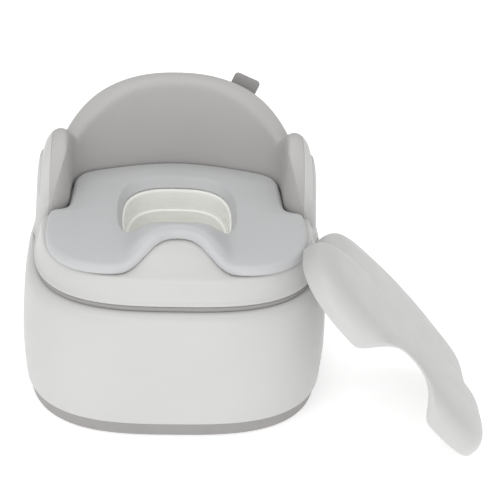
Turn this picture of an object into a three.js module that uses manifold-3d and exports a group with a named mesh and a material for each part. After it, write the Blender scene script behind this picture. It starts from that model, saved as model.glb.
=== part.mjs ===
// Potty training chair: a two-part moulded body with a padded back and arms, a removable
// padded seat ring, a lift-out pot and a loose lid that leans against the right side.
// Units are millimetres, +Z is up, -Y is the front and +X is the right side seen from the front.
// The origin is the centre of the flat underside of the bottom cover.

import * as THREE from 'three';
import { mergeVertices } from 'three/addons/utils/BufferGeometryUtils.js';
import Module from 'manifold-3d';

const wasm = await Module();
wasm.setup();

// ---------- driving dimensions ----------

const GAP = 0.3;                 // clearance between touching pieces
const SKIN = 3;                  // moulded wall thickness
const SQUARE = 3;                // superellipse exponent of the body's plan

const BAND_TOP = 21.7;           // top of the grey bottom band
const SHOULDER = 167.4;          // top face of the lower shell
const LIP = 174.4;               // underside of the upper shell's lip
const LAND = 206;                // top of the rim that carries the seat
const SHELF = 203.5;             // recessed shelf that carries the pot
const SEAT_THICK = 12;           // thickness of the seat ring over its bumpers
const BUMPER = 1.2;              // height of the seat's bumpers over the rim

const SEAT_LOW = LAND + BUMPER;  // underside of the seat ring
const PLATE_THICK = 3;           // stiff plate inside the seat ring
const FRONT_LIP = 143;           // lip's reach in front of the centre
const REAR_LIP = 152;            // lip's reach behind the centre
const SIDE_LIP = 170;            // lip's half width

const HUMP_HEIGHT = 30;          // rise of the splash guard over the rim
const HUMP_HALF = 67;            // half width of the splash guard
const NOTCH = 30;                // how far the seat's front edge steps back round the guard

const SEAT_HALF = 155;           // half width of the seat's front lobes
const SEAT_REAR_HALF = 129.5;    // half width of the seat between the arms
const SEAT_FRONT = 127;          // front edge of the seat's lobes
const SEAT_BACK = 115;           // rear edge of the seat
const ARM_FRONT = 2;             // where the arms start, behind the centre line

const HOLE_HALF = 66;            // seat opening, half width
const HOLE_DEPTH = 71;           // seat opening, half depth
const HOLE_Y = -4;               // centre of the opening and of the pot

const ARM_TOP = 303;             // highest point of the arms
const VALLEY = 248;              // low point between an arm and the backrest
const ARM_ROUND = 42;            // length of the rounded front end of an arm's top
const BACK_TOP = 336;            // top of the backrest
const BACK_ROUND = 100;          // drop of the backrest's rounded corners
const BACK_HALF = 140.5;         // half width of the backrest's outline
const WALL_LOW = 182;            // where the arms and the backrest grow out of the rim
const PAD_BOTTOM = 207.5;        // lower edge of the wall pad

const POT_FLOOR = 62;            // underside of the pot
const LID_CROWN = 35;          // lid's height over its own edge
const LID_ARCH = 31;             // rise of the lid's front edge over the splash guard
const LID_EDGE = 1.5;            // how far the lid overhangs the seat

// ---------- colours ----------

const plastic = (color, roughness) => new THREE.MeshStandardMaterial({ color, roughness, metalness: 0 });
const WHITE = plastic(0xe9e9e6, 0.38);
const POT_WHITE = plastic(0xe7e8e1, 0.3);
const RING_GREY = plastic(0xa3a19f, 0.5);
const PAD_GREY = plastic(0xaaa9a6, 0.6);
const SEAT_GREY = plastic(0xbfc0c2, 0.55);
const RUBBER = plastic(0x6f6f70, 0.9);
const STEEL = new THREE.MeshStandardMaterial({ color: 0xb9bcc0, roughness: 0.35, metalness: 1 });

// ---------- geometry helpers ----------

const chair = new THREE.Group();

function addPiece(name, geometry, material, parent = chair) {
  const mesh = new THREE.Mesh(geometry, material);
  mesh.name = name;
  parent.add(mesh);
  return mesh;
}

function signedVolume(points, faces) {
  let total = 0;
  for (const [a, b, c] of faces) {
    total += points[a].dot(new THREE.Vector3().crossVectors(points[b], points[c])) / 6;
  }
  return total;
}

function closedGeometry(points, faces) {
  const outward = signedVolume(points, faces) > 0;
  const index = faces.flatMap(([a, b, c]) => (outward ? [a, b, c] : [a, c, b]));
  const geometry = new THREE.BufferGeometry();
  geometry.setAttribute('position', new THREE.Float32BufferAttribute(points.flatMap((p) => p.toArray()), 3));
  geometry.setIndex(index);
  geometry.computeVertexNormals();
  return geometry;
}

// Joins rings of equally many points into one closed skin. A round skin joins its last ring to
// its first; any other is closed at both ends by a fan about the end ring's middle.
function skin(rings, round = false) {
  const count = rings[0].length;
  const points = rings.flat();
  const faces = [];
  const strips = round ? rings.length : rings.length - 1;
  for (let r = 0; r < strips; r++) {
    const here = r * count;
    const next = ((r + 1) % rings.length) * count;
    for (let i = 0; i < count; i++) {
      const j = (i + 1) % count;
      faces.push([here + i, here + j, next + j], [here + i, next + j, next + i]);
    }
  }
  if (!round) {
    for (const [start, ring, turned] of [[0, rings[0], true], [points.length - count, rings.at(-1), false]]) {
      const middle = ring.reduce((sum, p) => sum.add(p), new THREE.Vector3()).divideScalar(count);
      const hub = points.push(middle) - 1;
      for (let i = 0; i < count; i++) {
        const j = (i + 1) % count;
        faces.push(turned ? [start + j, start + i, hub] : [start + i, start + j, hub]);
      }
    }
  }
  return closedGeometry(points, faces);
}

function solid(geometry) {
  const bare = geometry.clone();
  bare.deleteAttribute('normal');
  bare.deleteAttribute('uv');
  const merged = mergeVertices(bare, 1e-4);
  return new wasm.Manifold(new wasm.Mesh({
    numProp: 3,
    vertProperties: merged.attributes.position.array,
    triVerts: Uint32Array.from(merged.index.array),
  }));
}

function geometryOf(body) {
  const mesh = body.getMesh();
  const geometry = new THREE.BufferGeometry();
  geometry.setAttribute('position', new THREE.BufferAttribute(mesh.vertProperties, 3));
  geometry.setIndex(new THREE.BufferAttribute(mesh.triVerts, 1));
  geometry.computeVertexNormals();
  return geometry;
}

// An upright round bar between two heights.
function bar(x, y, radius, low, high, sides = 16) {
  const geometry = new THREE.CylinderGeometry(radius, radius, high - low, sides);
  geometry.rotateX(Math.PI / 2);
  return geometry.translate(x, y, (low + high) / 2);
}

function easeInOut(t) {
  const c = THREE.MathUtils.clamp(t, 0, 1);
  return c * c * (3 - 2 * c);
}

const superPower = (value, n) => Math.sign(value) * Math.abs(value) ** (2 / n);

// Closed plan curve: a superellipse with its own front and rear reach.
function oval(half, front, rear, z, { n = SQUARE, centre = 0, count = 56 } = {}) {
  return Array.from({ length: count }, (_, i) => {
    const turn = (i / count) * 2 * Math.PI;
    const y = superPower(Math.sin(turn), n);
    return new THREE.Vector3(half * superPower(Math.cos(turn), n), centre + y * (y < 0 ? front : rear), z);
  });
}

// ---------- the splash guard's rise, shared by rim, seat plate, cushion and lid ----------

function humpWidth(x) {
  return Math.abs(x) < HUMP_HALF ? Math.cos((Math.PI / 2) * (x / HUMP_HALF) ** 2) ** 2 : 0;
}

function humpRise(x, y) {
  const start = -FRONT_LIP + 4;
  const top = -SEAT_FRONT + NOTCH;
  const fade = -HOLE_DEPTH + HOLE_Y + 64;
  const rise = easeInOut((y - start) / (top - start));
  const fall = easeInOut((fade - y) / 56);
  return HUMP_HEIGHT * humpWidth(x) * rise * fall;
}

const lifted = (ring) => ring.map((p) => new THREE.Vector3(p.x, p.y, p.z + humpRise(p.x, p.y)));

// ---------- bottom cover, feet and screws ----------

const COVER_SCREWS = [[128, 114], [-128, 114], [-128, -114], [128, -114]];
const FEET = [[95, 112], [-95, 112], [-95, -112], [95, -112]];
const FOOT_RADIUS = 12;
const FOOT_DROP = 1.5;
const FOOT_RECESS = 1.2;

function makeBottomCover() {
  let cover = solid(skin([
    oval(176, 160, 160, 0),
    oval(179.5, 163.5, 163.5, 3),
    oval(182, 165, 165, BAND_TOP),
    oval(179, 162, 162, BAND_TOP),
    oval(177, 161, 161, SKIN),
  ]));
  for (const [x, y] of COVER_SCREWS) {
    cover = cover.add(solid(bar(x, y, 9, 1, 6)));
    cover = cover.subtract(solid(bar(x, y, 4.6, -1, 3)));
    cover = cover.subtract(solid(bar(x, y, SCREW_HOLE, 2, 8)));
  }
  for (const [x, y] of FEET) {
    cover = cover.subtract(solid(bar(x, y, FOOT_RADIUS + GAP, -1, FOOT_RECESS, 24)));
  }
  addPiece('bottom_cover', geometryOf(cover), RING_GREY);
}

function makeFeet() {
  FEET.forEach(([x, y], i) => {
    addPiece(`foot_${i + 1}`, bar(x, y, FOOT_RADIUS, -FOOT_DROP, FOOT_RECESS - GAP, 24), RUBBER);
  });
}

function welded(geometry) {
  geometry.deleteAttribute('normal');
  geometry.deleteAttribute('uv');
  return mergeVertices(geometry, 1e-4);
}

const SCREW_HEAD = 4;            // radius of a screw's head
const SCREW_SHANK = 1.9;         // radius of its shank
const SCREW_HOLE = 2.2;          // radius of the holes for the shank

// A round-headed screw along +Y, from the bottom of its head to its tip.
function screw(headBottom, headTop, tip) {
  const profile = [[0, headBottom], [SCREW_HEAD - 1, headBottom], [SCREW_HEAD, headBottom + 0.9],
    [SCREW_HEAD, headTop], [SCREW_SHANK, headTop], [SCREW_SHANK, tip - 2], [0, tip]];
  return welded(new THREE.LatheGeometry(profile.map(([r, along]) => new THREE.Vector2(r, along)), 12));
}

const uprightScrew = (x, y, ...heights) => screw(...heights).rotateX(Math.PI / 2).translate(x, y, 0);

function makeCoverScrews() {
  COVER_SCREWS.forEach(([x, y], i) => {
    addPiece(`cover_screw_${i + 1}`, uprightScrew(x, y, 0.4, 2.7, 20), STEEL);
  });
}

// ---------- lower shell ----------

const SHELL_SCREWS = [[127, 108], [-127, 108], [-127, -104], [127, -104]];

// Half width, front reach and rear reach of the lower shell's outside at a height.
const LOWER_OUTSIDE = [
  [22, 184.5, 167.5, 167.5], [60, 186.6, 168.6, 168.8], [105, 185.4, 165.4, 167.4],
  [138, 183.2, 160.4, 165], [153.4, 181.6, 157.4, 163.4], [160.4, 179.4, 154.6, 161],
  [165.4, 175.2, 150, 156.6], [SHOULDER, 170, 144.6, 151.4],
];

function makeLowerShell() {
  const outside = LOWER_OUTSIDE.map(([z, half, front, rear]) => oval(half, front, rear, z));
  const inside = LOWER_OUTSIDE.slice(0, -2).reverse()
    .map(([z, half, front, rear]) => oval(half - SKIN, front - SKIN, rear - SKIN, z));
  const flange = [oval(148, 124, 131, SHOULDER), oval(148, 124, 131, SHOULDER - SKIN),
    oval(171, 146, 152.6, SHOULDER - SKIN)];
  let shell = solid(skin([...outside, ...flange, ...inside], true));
  for (const [x, y] of COVER_SCREWS) {
    const reach = 26;
    const rib = new THREE.BoxGeometry(reach, SKIN, 36).translate(reach / 2, 0, 22 + 18);
    rib.rotateZ(Math.atan2(y, x)).translate(x, y, 0);
    shell = shell.add(solid(bar(x, y, 6, 6 + GAP, 46))).add(solid(rib));
    shell = shell.subtract(solid(bar(x, y, SCREW_HOLE, 5, 24)));
  }
  for (const [x, y] of SHELL_SCREWS) {
    shell = shell.subtract(solid(bar(x, y, SCREW_HOLE, SHOULDER - 8, SHOULDER + 2)));
  }
  addPiece('lower_shell', geometryOf(shell), WHITE);
}

// ---------- seam ring between the two shells ----------

const GRIP = { y: 22, length: 50, reach: 177 };

// A straight-sided block that steps out of the body's side as part of a finger grip.
function gripBlock(side, length, reach, low, high) {
  const block = new THREE.BoxGeometry(16, length, high - low);
  return solid(block.translate(side * (reach - 8), GRIP.y, (low + high) / 2));
}

function makeSeamRing() {
  const low = SHOULDER + GAP;
  const high = LIP - GAP;
  const bead = 1.6;
  let ring = solid(skin([
    oval(169.4, 143.4, 151.4, low), oval(171, 145, 153, low + bead), oval(171, 145, 153, high - bead),
    oval(169.4, 143.4, 151.4, high), oval(148, 124, 131, high), oval(148, 124, 131, low),
  ], true));
  for (const side of [-1, 1]) {
    ring = ring.add(gripBlock(side, GRIP.length, GRIP.reach, low, high));
  }
  for (const [x, y] of SHELL_SCREWS) {
    ring = ring.subtract(solid(bar(x, y, SCREW_HOLE, low - 1, high + 1)));
  }
  addPiece('seam_ring', geometryOf(ring), RING_GREY);
}

// ---------- wall of the arms and the backrest ----------

// Inner plan curve of the wall, from the right arm's front round the back to the left arm's front.
function wallInside() {
  const gap = 1.2;
  const half = new THREE.CurvePath();
  const v = (x, y) => new THREE.Vector3(x, y, 0);
  const [side, corner, middle] = [v(128.5 + gap, 58), v(86, 98.5 + gap), v(0, SEAT_BACK + gap)];
  half.add(new THREE.LineCurve3(v(SEAT_REAR_HALF + gap + 1, ARM_FRONT), side));
  half.add(new THREE.CubicBezierCurve3(side, v(127 + gap, 84), v(112 + gap, 91 + gap), corner));
  half.add(new THREE.CubicBezierCurve3(corner, v(58, 107 + gap), v(30, SEAT_BACK + gap), middle));
  return half;
}

// Outer plan point of the wall on the ray through an inner point, at the lip's level.
function wallOutside(inner) {
  const across = Math.abs(inner.x) / (SIDE_LIP + 3);
  const along = Math.abs(inner.y) / ((inner.y < 0 ? FRONT_LIP : REAR_LIP) + 1);
  const scale = (across ** SQUARE + along ** SQUARE) ** (-1 / SQUARE);
  return new THREE.Vector3(inner.x * scale, inner.y * scale, 0);
}

// How far the wall's crest lies in front of its outside, counted from its inner face.
const crestInset = (s) => THREE.MathUtils.lerp(12, 22, easeInOut((s - 70) / 50));

const CORNER = 2.6;              // superellipse exponent of the crest's rounded ends

// Height of the wall's crest at a plan distance s from the arm's front and half width x.
function crestHeight(x, s) {
  const rise = THREE.MathUtils.clamp(s / ARM_ROUND, 0, 1);
  const arm = LAND + (ARM_TOP - LAND) * (1 - (1 - rise) ** CORNER) ** (1 / CORNER);
  const armFall = arm - (ARM_TOP - VALLEY) * easeInOut((s - 30) / 90);
  const back = BACK_TOP - BACK_ROUND * (1 - Math.sqrt(1 - Math.min(Math.abs(x) / BACK_HALF, 1) ** CORNER));
  return s < ARM_ROUND ? armFall : Math.max(armFall, back, VALLEY);
}

// Stations along one half of the wall and, mirrored, the other.
function wallStations(from, to, count) {
  const path = wallInside();
  const length = path.getLength();
  const list = [];
  for (let i = 0; i <= count; i++) {
    const s = from + ((to - from) * i) / count;
    const t = THREE.MathUtils.clamp(s / length, 0, 1);
    const inner = path.getPoint(t);
    const outer = wallOutside(inner);
    const crest = inner.clone().lerp(outer, crestInset(s) / inner.distanceTo(outer));
    list.push({ s, inner, outer, height: crestHeight(crest.x, s) });
  }
  return list;
}

const HALF_WALL = wallInside().getLength();
const STATIONS = wallStations(1, HALF_WALL, 36);

const mirrored = (station) => ({
  ...station,
  inner: station.inner.clone().setX(-station.inner.x),
  outer: station.outer.clone().setX(-station.outer.x),
});

// Share of the wall's thickness that the white outer shell takes.
const whiteShare = (s) => THREE.MathUtils.lerp(0.42, 0.34, easeInOut((s - 60) / 60));

const OUTER_FALL = 34;           // drop of the crest's outer shoulder
const INNER_FALL = 14;           // drop of the crest's inner shoulder

// The section's upper outline over a share t of the thickness, from the outside to the inside.
function sectionHeight(t, s, height, width) {
  const inward = crestInset(s) / width;
  if (t < 1 - inward) {
    const u = (1 - inward - t) / (1 - inward - 0.1);
    return height - OUTER_FALL * (1 - Math.sqrt(Math.max(0, 1 - u * u)));
  }
  const u = (t - 1 + inward) / inward;
  return height - INNER_FALL * (1 - Math.sqrt(Math.max(0, 1 - u * u)));
}

const LEAN = 8 / 120;            // how fast the wall's outside leans inwards as it rises

// One section ring of a wall piece between two shares of the thickness.
function wallRing(station, low, shares) {
  const { s, inner, outer, height } = station;
  const width = outer.distanceTo(inner);
  const at = (share, z) => {
    const back = LEAN * (z - WALL_LOW) * (1 - share);
    return outer.clone().lerp(inner, share + back / width).setZ(z);
  };
  const first = shares[0];
  const last = shares.at(-1);
  const tops = shares.map((share) => {
    const z = Math.max(sectionHeight(share, s, height, width), low + 4);
    return at(share, z);
  });
  return [at(first, low), ...tops, at(last, low)];
}

function spread(from, to, count) {
  return Array.from({ length: count }, (_, i) => from + ((to - from) * i) / (count - 1));
}

const bothSides = (half) => [...half, ...half.slice(0, -1).reverse().map(mirrored)];

// ---------- upper shell ----------

const between = (from, to, t) => from.map((p, i) => p.clone().lerp(to[i], t));

// Three rings in even steps between two outlines, raised by the splash guard where they lie.
function stepped(from, to, z) {
  return [0.25, 0.5, 0.75].map((t) => raised(from.map((p, i) => p.clone().lerp(to[i], t)), z));
}

function seatSlab(edge, hole, low, high) {
  return solid(skin([
    raised(edge, high), ...stepped(edge, hole, high), raised(hole, high),
    raised(hole, low), ...stepped(hole, edge, low), raised(edge, low),
  ], true));
}

// The space that the seat ring fills, with its clearance all round.
function seatRoom() {
  const edge = seatOutline(-GAP);
  const hole = holeRing(seatOutline(0), HOLE_HALF, HOLE_DEPTH);
  return seatSlab(edge, hole, SEAT_LOW - 3 * GAP, SEAT_LOW + SEAT_THICK);
}

function makeUpperShell() {
  const lip = (inset, z) => oval(SIDE_LIP - inset, FRONT_LIP - inset, REAR_LIP - inset, z);
  const landInside = oval(108, 90, 90, LAND, { centre: 4 });
  const rim = skin([
    lip(0, LIP), lip(-0.6, LIP + 4), lip(2, LIP + 8), lip(6, LAND - 9), lifted(lip(7.6, LAND - 3)),
    lifted(lip(11, LAND)), ...[0.25, 0.5, 0.75].map((t) => lifted(between(lip(11, LAND), landInside, t))),
    lifted(landInside),
    oval(108, 90, 90, SHELF, { centre: 4 }), oval(69, 75, 75, SHELF, { centre: HOLE_Y }),
    oval(69, 75, 75, SHELF - SKIN, { centre: HOLE_Y }), oval(150, 124, 132, SHELF - SKIN),
    lip(6, LIP + 8), lip(5, LIP),
  ], true);
  let shell = solid(rim);
  const wall = bothSides(STATIONS).map((station) => {
    return wallRing(station, WALL_LOW, spread(0, whiteShare(station.s), 4));
  });
  shell = shell.add(solid(skin(wall)));
  for (const side of [-1, 1]) {
    shell = shell.add(gripBlock(side, GRIP.length - 4, GRIP.reach - 2, LIP, LIP + 6));
  }
  shell = shell.subtract(seatRoom());
  for (const [x, y] of SHELL_SCREWS) {
    shell = shell.add(solid(bar(x, y, 5, LIP, SHELF - 1)));
    shell = shell.subtract(solid(bar(x, y, SCREW_HOLE, LIP - 1, SHELF - 6)));
  }
  shell = shell.subtract(tabBore(SCREW_HOLE, -12, 1));
  addPiece('upper_shell', geometryOf(shell), WHITE);
}

// Screws that clamp the lower shell, the seam ring and the upper shell together from below.
function makeShellScrews() {
  SHELL_SCREWS.forEach(([x, y], i) => {
    const head = SHOULDER - SKIN - GAP;
    addPiece(`shell_screw_${i + 1}`, uprightScrew(x, y, head - 2.4, head, LIP + 8), STEEL);
  });
}

// ---------- pad on the wall ----------

const PAD_NOSE = 26;             // length over which the pad's front ends swell to full thickness

function padShares({ s, inner, outer }) {
  const width = outer.distanceTo(inner);
  const start = whiteShare(s) + GAP / width;
  const away = 1 - THREE.MathUtils.clamp((s + 3) / PAD_NOSE, 0, 1);
  return spread(start, start + (1 - start) * Math.sqrt(1 - away ** 2), 6);
}

// One pad lines the right arm, the backrest and the left arm.
function makeWallPad() {
  const sections = bothSides(STATIONS).map((station) => wallRing(station, PAD_BOTTOM, padShares(station)));
  addPiece('wall_pad', skin(sections), PAD_GREY);
}

// ---------- tab at the back of the backrest ----------

const TAB = { x: 73.3, face: 145, middle: 288.7, width: 34, length: 80, thick: 3, corner: 5 };
const TAB_CANT = 0.37;           // how far the tab leans sideways
const TAB_TURN = -0.15;          // how far it turns to follow the shell's back
const TAB_SCREW = 30;            // screw's distance below the tab's middle

// Puts a piece made about the tab's middle, on its inner face, in the tab's place.
function onTab(geometry) {
  return geometry.rotateY(TAB_CANT).rotateZ(TAB_TURN).translate(TAB.x, TAB.face, TAB.middle);
}

// A straight hole or pin of the tab's screw, along Y through the tab's lower end.
function tabBore(radius, from, to) {
  const bore = new THREE.CylinderGeometry(radius, radius, to - from, 12);
  return solid(onTab(bore.translate(0, (from + to) / 2, -TAB_SCREW)));
}

function makeRearTab() {
  const w = TAB.width / 2;
  const h = TAB.length / 2;
  const r = TAB.corner;
  const outline = new THREE.Shape();
  outline.moveTo(-w, -h);
  outline.lineTo(w, -h);
  outline.lineTo(w, h - r);
  outline.absarc(w - r, h - r, r, 0, Math.PI / 2);
  outline.absarc(-w + r, h - r, r, Math.PI / 2, Math.PI);
  outline.closePath();
  const flat = { depth: TAB.thick, bevelEnabled: false, curveSegments: 5 };
  const plate = new THREE.ExtrudeGeometry(outline, flat);
  plate.rotateX(Math.PI / 2).translate(0, TAB.thick, 0);
  const tab = solid(onTab(welded(plate))).subtract(tabBore(SCREW_HOLE, -1, TAB.thick + 1));
  addPiece('rear_tab', geometryOf(tab), RING_GREY);

  const head = -TAB.thick - GAP;
  const pin = screw(head - 2.3, head, 11).rotateZ(Math.PI).translate(0, 0, -TAB_SCREW);
  addPiece('tab_screw', onTab(pin), STEEL);
}

// ---------- removable seat ring ----------

// Right half of the seat's outline, from the front centre to the rear centre.
function seatOutline(inset, count = 72) {
  const half = new THREE.Path();
  const w = SEAT_HALF;
  const r = SEAT_REAR_HALF;
  half.moveTo(0, -SEAT_FRONT + NOTCH);
  half.bezierCurveTo(26, -SEAT_FRONT + NOTCH, 42, -SEAT_FRONT + 1, 76, -SEAT_FRONT);
  half.bezierCurveTo(122, -SEAT_FRONT, w, -104, w, -44);
  half.lineTo(w - 1, -14);
  half.quadraticCurveTo(w - 1, -3, w - 11, -1);
  half.bezierCurveTo(r + 5, 1, r + 1, 4, r, 16);
  half.lineTo(r - 2, 58);
  half.bezierCurveTo(r - 2.5, 84, 112, 91, 86, 98.5);
  half.bezierCurveTo(58, 107, 30, SEAT_BACK, 0, SEAT_BACK);
  const right = half.getSpacedPoints(count / 2);
  const left = right.slice(1, -1).reverse().map((p) => new THREE.Vector2(-p.x, p.y));
  const ring = [...right, ...left];
  return inset === 0 ? ring : insetRing(ring, inset);
}

// Moves every point of an anticlockwise ring inwards by a distance along its local normal.
function insetRing(ring, distance) {
  return ring.map((p, i) => {
    const before = ring[(i + ring.length - 1) % ring.length];
    const after = ring[(i + 1) % ring.length];
    const along = after.clone().sub(before).normalize();
    return new THREE.Vector2(p.x - along.y * distance, p.y + along.x * distance);
  });
}

// The opening's point on the ray through each outline point.
function holeRing(ring, half, depth) {
  const n = 2.8;
  return ring.map((p) => {
    const y = p.y - HOLE_Y;
    const scale = ((Math.abs(p.x) / half) ** n + (Math.abs(y) / depth) ** n) ** (-1 / n);
    return new THREE.Vector2(p.x * scale, HOLE_Y + y * scale);
  });
}

const raised = (ring, z) => lifted(ring.map((p) => new THREE.Vector3(p.x, p.y, z)));

const BUMPERS = [[118, -78], [-118, -78], [112, 72], [-112, 72]];

function plateBody(grow, low, high) {
  const edge = seatOutline(3 - grow);
  const hole = holeRing(seatOutline(0), HOLE_HALF + 6 - grow, HOLE_DEPTH + 5 - grow);
  return seatSlab(edge, hole, low, high);
}

function makeSeat() {
  let plate = plateBody(0, SEAT_LOW, SEAT_LOW + PLATE_THICK);
  for (const [x, y] of BUMPERS) {
    plate = plate.subtract(solid(bar(x, y, 5 + GAP, SEAT_LOW - 1, SEAT_LOW + 1.2)));
  }
  addPiece('seat_plate', geometryOf(plate), POT_WHITE);
  BUMPERS.forEach(([x, y], i) => {
    addPiece(`seat_bumper_${i + 1}`, bar(x, y, 5, LAND + GAP, SEAT_LOW + 1.2 - GAP, 16), RUBBER);
  });

  const top = SEAT_LOW + SEAT_THICK;
  const under = SEAT_LOW + 0.4;
  const opening = (grow) => holeRing(seatOutline(0), HOLE_HALF + grow, HOLE_DEPTH + grow);
  const edge = (inset, z) => raised(seatOutline(inset), z);
  const hole = (grow, z) => raised(opening(grow), z);
  const cushion = solid(skin([
    edge(0, under), edge(0, top - 5), edge(1.6, top - 1.6), edge(5.5, top),
    ...stepped(seatOutline(5.5), opening(13), top),
    hole(13, top), hole(6, top - 2), hole(1.2, top - 7), hole(0, under),
    ...stepped(opening(0), seatOutline(0), under),
  ], true));
  const socket = plateBody(GAP, SEAT_LOW - 2, SEAT_LOW + PLATE_THICK + GAP);
  addPiece('seat_cushion', geometryOf(cushion.subtract(socket)), SEAT_GREY);
}

// ---------- pot ----------

function makePot() {
  const ring = (half, depth, z) => oval(half, depth, depth, z, { n: 2.8, centre: HOLE_Y, count: 44 });
  addPiece('pot', skin([
    ring(36, 43, POT_FLOOR), ring(46, 52, POT_FLOOR + 3), ring(51, 57, POT_FLOOR + 12),
    ring(61, 67, SHELF - 30), ring(64.6, 70.6, SHELF - 25), ring(66.4, 72.4, SHELF + GAP),
    ring(74, 79, SHELF + GAP), ring(75, 80, SHELF + 2), ring(74, 79, SHELF + 3),
    ring(65.5, 71.5, SHELF + 3), ring(63.6, 69.6, SHELF + 1.5),
    ring(61.8, 67.8, SHELF - 24), ring(58.4, 64.4, SHELF - 27), ring(48.5, 54.5, POT_FLOOR + 13),
    ring(44, 50, POT_FLOOR + 5.5),
    ring(35, 42, POT_FLOOR + 3),
  ]), POT_WHITE);
}

// ---------- loose lid ----------

// The lid's own frame: x to the right and y to the rear as when it lies on the seat, z outwards.
const LID_PLACE = { x: 253.8, y: -103.6, z: 107 };
const LID_YAW = -13.8;
const LID_TILT = 45;
const LID_ROLL = -12.3;
const LID_LENGTH = 0.95;         // lid's length as a share of the seat's

// One ring of the lid: its share of the full outline, of the crown's height and of the arch.
function lidRing(scale, crownShare, archShare, drop = 0) {
  return seatOutline(-LID_EDGE, 64).map((p) => {
    const arch = p.y < 0 ? archShare * LID_ARCH * humpWidth(p.x) : 0;
    return new THREE.Vector3(p.x * scale, p.y * scale * LID_LENGTH, LID_CROWN * crownShare + arch - drop);
  });
}

function makeLid() {
  const wall = 2.6;
  const lid = skin([
    lidRing(0.04, 1, 0), lidRing(0.5, 0.985, 0), lidRing(0.78, 0.93, 0.02), lidRing(0.885, 0.83, 0.1),
    lidRing(0.95, 0.68, 0.3), lidRing(0.985, 0.48, 0.55), lidRing(1, 0.25, 0.8), lidRing(1, 0, 1),
    lidRing(0.984, 0, 1), lidRing(0.983, 0.25, 0.8), lidRing(0.967, 0.48, 0.55),
    lidRing(0.932, 0.68, 0.3, wall / 2), lidRing(0.87, 0.83, 0.1, wall), lidRing(0.77, 0.93, 0.02, wall),
    lidRing(0.5, 0.985, 0, wall), lidRing(0.04, 1, 0, wall),
  ]);
  const holder = new THREE.Group();
  holder.position.set(LID_PLACE.x, LID_PLACE.y, LID_PLACE.z);
  const [roll, tilt, yaw] = [LID_ROLL, LID_TILT, LID_YAW].map(THREE.MathUtils.degToRad);
  holder.rotation.set(roll, tilt, yaw, 'ZYX');
  chair.add(holder);
  addPiece('lid', lid, WHITE, holder);
}

makeBottomCover();
makeFeet();
makeCoverScrews();
makeLowerShell();
makeSeamRing();
makeUpperShell();
makeShellScrews();
makeWallPad();
makeRearTab();
makeSeat();
makePot();
makeLid();

export default chair;
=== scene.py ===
import math

import bmesh
import bpy
from bpy.props import FloatProperty, FloatVectorProperty, PointerProperty
from bpy.types import Operator, Panel, PropertyGroup
from mathutils import Euler, Matrix, Vector
from mathutils.geometry import interpolate_bezier


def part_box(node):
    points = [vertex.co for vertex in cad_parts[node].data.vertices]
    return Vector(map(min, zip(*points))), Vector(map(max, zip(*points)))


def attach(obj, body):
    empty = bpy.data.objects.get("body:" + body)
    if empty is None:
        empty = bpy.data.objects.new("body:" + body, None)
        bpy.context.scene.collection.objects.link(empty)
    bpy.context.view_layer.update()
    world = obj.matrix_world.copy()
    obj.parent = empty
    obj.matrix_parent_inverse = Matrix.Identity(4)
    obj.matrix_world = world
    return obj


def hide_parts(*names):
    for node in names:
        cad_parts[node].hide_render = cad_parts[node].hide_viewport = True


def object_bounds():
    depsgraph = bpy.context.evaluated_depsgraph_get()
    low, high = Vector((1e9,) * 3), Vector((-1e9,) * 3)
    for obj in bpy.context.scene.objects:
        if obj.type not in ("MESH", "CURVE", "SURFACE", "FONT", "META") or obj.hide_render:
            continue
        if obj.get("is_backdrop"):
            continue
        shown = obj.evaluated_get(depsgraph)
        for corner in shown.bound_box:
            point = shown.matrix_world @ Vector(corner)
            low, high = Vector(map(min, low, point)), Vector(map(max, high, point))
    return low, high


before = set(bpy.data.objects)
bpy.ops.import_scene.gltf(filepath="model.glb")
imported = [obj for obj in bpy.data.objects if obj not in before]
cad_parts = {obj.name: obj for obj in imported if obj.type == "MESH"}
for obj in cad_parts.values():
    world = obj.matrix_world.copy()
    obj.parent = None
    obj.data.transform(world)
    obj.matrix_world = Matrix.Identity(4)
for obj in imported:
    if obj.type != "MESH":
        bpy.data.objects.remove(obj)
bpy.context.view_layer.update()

bl_info = {
    "name": "Potty Chair",
    "version": (1, 0, 0),
    "blender": (4, 5, 0),
    "location": "View3D > Sidebar > Potty Chair",
    "description": "Builds a padded potty chair with its seat ring, pot and loose lid",
    "category": "Object",
}

# Lengths in the shape code are millimetres, +Z up, -Y the front; meshes are made in metres.
MM = 0.001


def corners(node):
    """Lowest and highest corner of a part, in millimetres."""
    low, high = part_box(node)
    return low / MM, high / MM


_, BAND_HIGH = corners("bottom_cover")
_, BODY_HIGH = corners("lower_shell")
SEAM_LOW, SEAM_HIGH = corners("seam_ring")
UPPER_LOW, _ = corners("upper_shell")
PLATE_LOW, _ = corners("seat_plate")
SEAT_LOW, SEAT_HIGH = corners("seat_cushion")
PAD_LOW, _ = corners("wall_pad")
_, POT_HIGH = corners("pot")

GAP = 0.3                        # clearance between touching pieces
SQUARE = 3                       # superellipse exponent of the body's plan
BAND_TOP = BAND_HIGH.z
SHOULDER = BODY_HIGH.z           # top face of the lower shell
LIP = UPPER_LOW.z                # underside of the upper shell's lip
SEAT_BASE = PLATE_LOW.z          # underside of the seat ring
LAND = SEAT_BASE - 1.2           # top of the rim that carries the seat
SHELF = POT_HIGH.z - 3           # recessed shelf that carries the pot
SEAT_TOP = SEAT_BASE + 12        # top of the seat ring away from the splash guard
SIDE_LIP, FRONT_LIP, REAR_LIP = 170, 143, 152
HUMP_HEIGHT, HUMP_HALF, NOTCH = 30, 67, 30
SEAT_HALF, SEAT_REAR_HALF = SEAT_HIGH.x, 129.5
SEAT_FRONT, SEAT_BACK = -SEAT_LOW.y, SEAT_HIGH.y
HOLE_HALF, HOLE_DEPTH, HOLE_Y, HOLE_SQUARE = 66, 71, -4, 2.8
ARM_FRONT = 2                    # where the arms start, behind the centre line
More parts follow.
